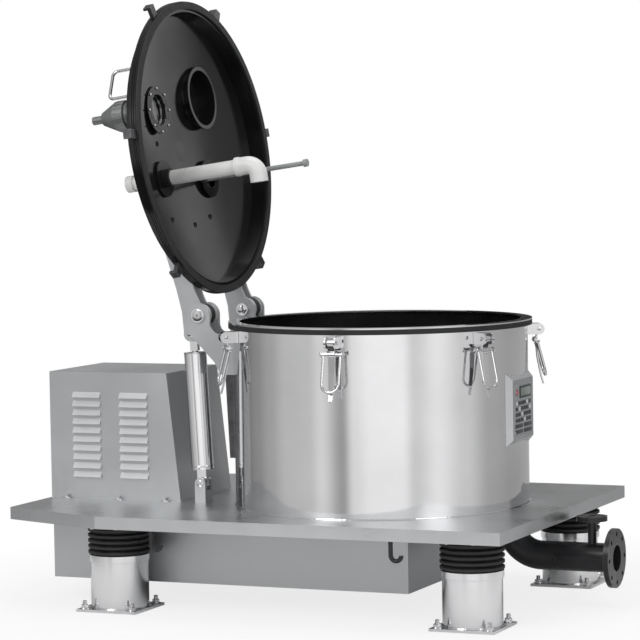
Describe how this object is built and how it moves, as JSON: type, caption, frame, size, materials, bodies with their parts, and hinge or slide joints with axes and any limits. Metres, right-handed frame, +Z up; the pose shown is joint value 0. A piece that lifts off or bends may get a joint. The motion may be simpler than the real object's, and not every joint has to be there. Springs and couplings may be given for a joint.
{
  "type": "flat-plate basket centrifuge",
  "caption": "Stainless flat-plate basket centrifuge with a hinged flip lid standing open, toggle latches, balance struts, motor cover and bottom discharge pipe.",
  "frame": {"origin": "On the floor, midway between the four feet", "axes": "X along the base plate towards the discharge pipe, Y to the back, Z up"},
  "size_m": [2.2, 1.43, 2.2762],
  "materials": {
    "satin_steel": "satin",
    "polished_steel": "polished",
    "pale_grey_paint": "satin",
    "black_gloss": "gloss",
    "black_paint": "satin",
    "black_rubber": "matte",
    "white_plastic": "gloss",
    "lamp_grey": "matte",
    "keypad_grey": "matte",
    "clear_glass": "clear"
  },
  "bodies": {
    "machine": {"feet": "satin_steel", "bellows": "black_rubber", "damper_flanges": "satin_steel", "base_plate": "satin_steel", "belt_guard": "satin_steel", "drum_shell": "polished_steel", "drum_lining": "black_gloss", "rim_band": "black_rubber", "rim_ring": "polished_steel", "bearing_housing": "satin_steel", "motor_cover": "satin_steel", "panel_housing": "satin_steel", "keypad": "keypad_grey", "hinge_brackets": "pale_grey_paint", "spines": "satin_steel", "hinge_pins": "polished_steel", "strut_feet": "satin_steel", "latch_ears": "polished_steel", "discharge_pipe": "black_paint", "discharge_flange": "black_paint", "riser": "black_paint", "hooks": "black_paint"},
    "basket": {"basket": "satin_steel", "spindle": "satin_steel"},
    "lid": {"lid_shell": "black_gloss", "lid_rim": "black_gloss", "lid_gasket": "black_rubber", "sight_port": "black_gloss", "hand_hole": "black_gloss", "feed_port": "black_gloss", "wash_port": "black_gloss", "sight_glass": "clear_glass", "hand_hole_cover": "black_gloss", "lamp": "lamp_grey", "feed_pipe": "white_plastic", "wash_tube": "white_plastic", "lid_handle": "polished_steel", "lid_lugs": "polished_steel", "lid_arms": "pale_grey_paint"},
    "strut_tube_front": {"strut_tube_front": "polished_steel"},
    "strut_rod_front": {"strut_rod_front": "polished_steel"},
    "strut_tube_back": {"strut_tube_back": "polished_steel"},
    "strut_rod_back": {"strut_rod_back": "polished_steel"},
    "latch_lever_1": {"latch_lever_1": "polished_steel"},
    "latch_bail_1": {"latch_bail_1": "polished_steel"},
    "latch_lever_2": {"latch_lever_2": "polished_steel"},
    "latch_bail_2": {"latch_bail_2": "polished_steel"},
    "latch_lever_3": {"latch_lever_3": "polished_steel"},
    "latch_bail_3": {"latch_bail_3": "polished_steel"},
    "latch_lever_4": {"latch_lever_4": "polished_steel"},
    "latch_bail_4": {"latch_bail_4": "polished_steel"},
    "latch_lever_5": {"latch_lever_5": "polished_steel"},
    "latch_bail_5": {"latch_bail_5": "polished_steel"},
    "latch_lever_6": {"latch_lever_6": "polished_steel"},
    "latch_bail_6": {"latch_bail_6": "polished_steel"}
  },
  "joints": [
    {"name": "lid_hinge", "type": "hinge", "parent": "machine", "child": "lid", "pos_m": [-0.498, 0, 1.08], "axis": [0, 1, 0], "range_deg": [0, 97.7]},
    {"name": "basket_spin", "type": "hinge", "parent": "machine", "child": "basket", "pos_m": [0.141, 0, 0.5], "axis": [0, 0, 1], "continuous": true},
    {"name": "strut_tube_front", "type": "hinge", "parent": "machine", "child": "strut_tube_front", "pos_m": [-0.512, -0.203, 0.438], "axis": [0, 1, 0], "range_deg": [-3.13, 0]},
    {"name": "strut_rod_front", "type": "hinge", "parent": "lid", "child": "strut_rod_front", "pos_m": [-0.54019, -0.203, 1.0077], "axis": [0, 1, 0], "range_deg": [-100.83, 0]},
    {"name": "strut_tube_back", "type": "hinge", "parent": "machine", "child": "strut_tube_back", "pos_m": [-0.512, 0.203, 0.438], "axis": [0, 1, 0], "range_deg": [-3.13, 0]},
    {"name": "strut_rod_back", "type": "hinge", "parent": "lid", "child": "strut_rod_back", "pos_m": [-0.54019, 0.203, 1.0077], "axis": [0, 1, 0], "range_deg": [-100.83, 0]},
    {"name": "lever_1", "type": "hinge", "parent": "machine", "child": "latch_lever_1", "pos_m": [-0.32771, -0.37618, 1.008], "axis": [0.6259, -0.7799, 0], "range_deg": [-100, 0]},
    {"name": "bail_1", "type": "hinge", "parent": "latch_lever_1", "child": "latch_bail_1", "pos_m": [-0.32069, -0.37055, 0.966], "axis": [-0.6259, 0.7799, 0], "range_deg": [0, 165.4]},
    {"name": "lever_2", "type": "hinge", "parent": "machine", "child": "latch_lever_2", "pos_m": [0.19599, -0.59848, 1.008], "axis": [0.9958, 0.0915, 0], "range_deg": [-100, 0]},
    {"name": "bail_2", "type": "hinge", "parent": "latch_lever_2", "child": "latch_bail_2", "pos_m": [0.19517, -0.58952, 0.966], "axis": [-0.9958, -0.0915, 0], "range_deg": [0, 165.4]},
    {"name": "lever_3", "type": "hinge", "parent": "machine", "child": "latch_lever_3", "pos_m": [0.67041, -0.28447, 1.008], "axis": [0.4733, 0.8809, 0], "range_deg": [-100, 0]},
    {"name": "bail_3", "type": "hinge", "parent": "latch_lever_3", "child": "latch_bail_3", "pos_m": [0.66249, -0.2802, 0.966], "axis": [-0.4733, -0.8809, 0], "range_deg": [0, 165.4]},
    {"name": "lever_4", "type": "hinge", "parent": "machine", "child": "latch_lever_4", "pos_m": [0.67041, 0.28447, 1.008], "axis": [-0.4733, 0.8809, 0], "range_deg": [-100, 0]},
    {"name": "bail_4", "type": "hinge", "parent": "latch_lever_4", "child": "latch_bail_4", "pos_m": [0.66249, 0.2802, 0.966], "axis": [0.4733, -0.8809, 0], "range_deg": [0, 165.4]},
    {"name": "lever_5", "type": "hinge", "parent": "machine", "child": "latch_lever_5", "pos_m": [0.19599, 0.59848, 1.008], "axis": [-0.9958, 0.0915, 0], "range_deg": [-100, 0]},
    {"name": "bail_5", "type": "hinge", "parent": "latch_lever_5", "child": "latch_bail_5", "pos_m": [0.19517, 0.58952, 0.966], "axis": [0.9958, -0.0915, 0], "range_deg": [0, 165.4]},
    {"name": "lever_6", "type": "hinge", "parent": "machine", "child": "latch_lever_6", "pos_m": [-0.32771, 0.37618, 1.008], "axis": [-0.6259, -0.7799, 0], "range_deg": [-100, 0]},
    {"name": "bail_6", "type": "hinge", "parent": "latch_lever_6", "child": "latch_bail_6", "pos_m": [-0.32069, 0.37055, 0.966], "axis": [0.6259, 0.7799, 0], "range_deg": [0, 165.4]}
  ],
  "couplings": [
    {"joint": "strut_tube_front", "follows": "lid_hinge", "ratio": -0.032},
    {"joint": "strut_rod_front", "follows": "lid_hinge", "ratio": -1.032},
    {"joint": "strut_tube_back", "follows": "lid_hinge", "ratio": -0.032},
    {"joint": "strut_rod_back", "follows": "lid_hinge", "ratio": -1.032}
  ]
}
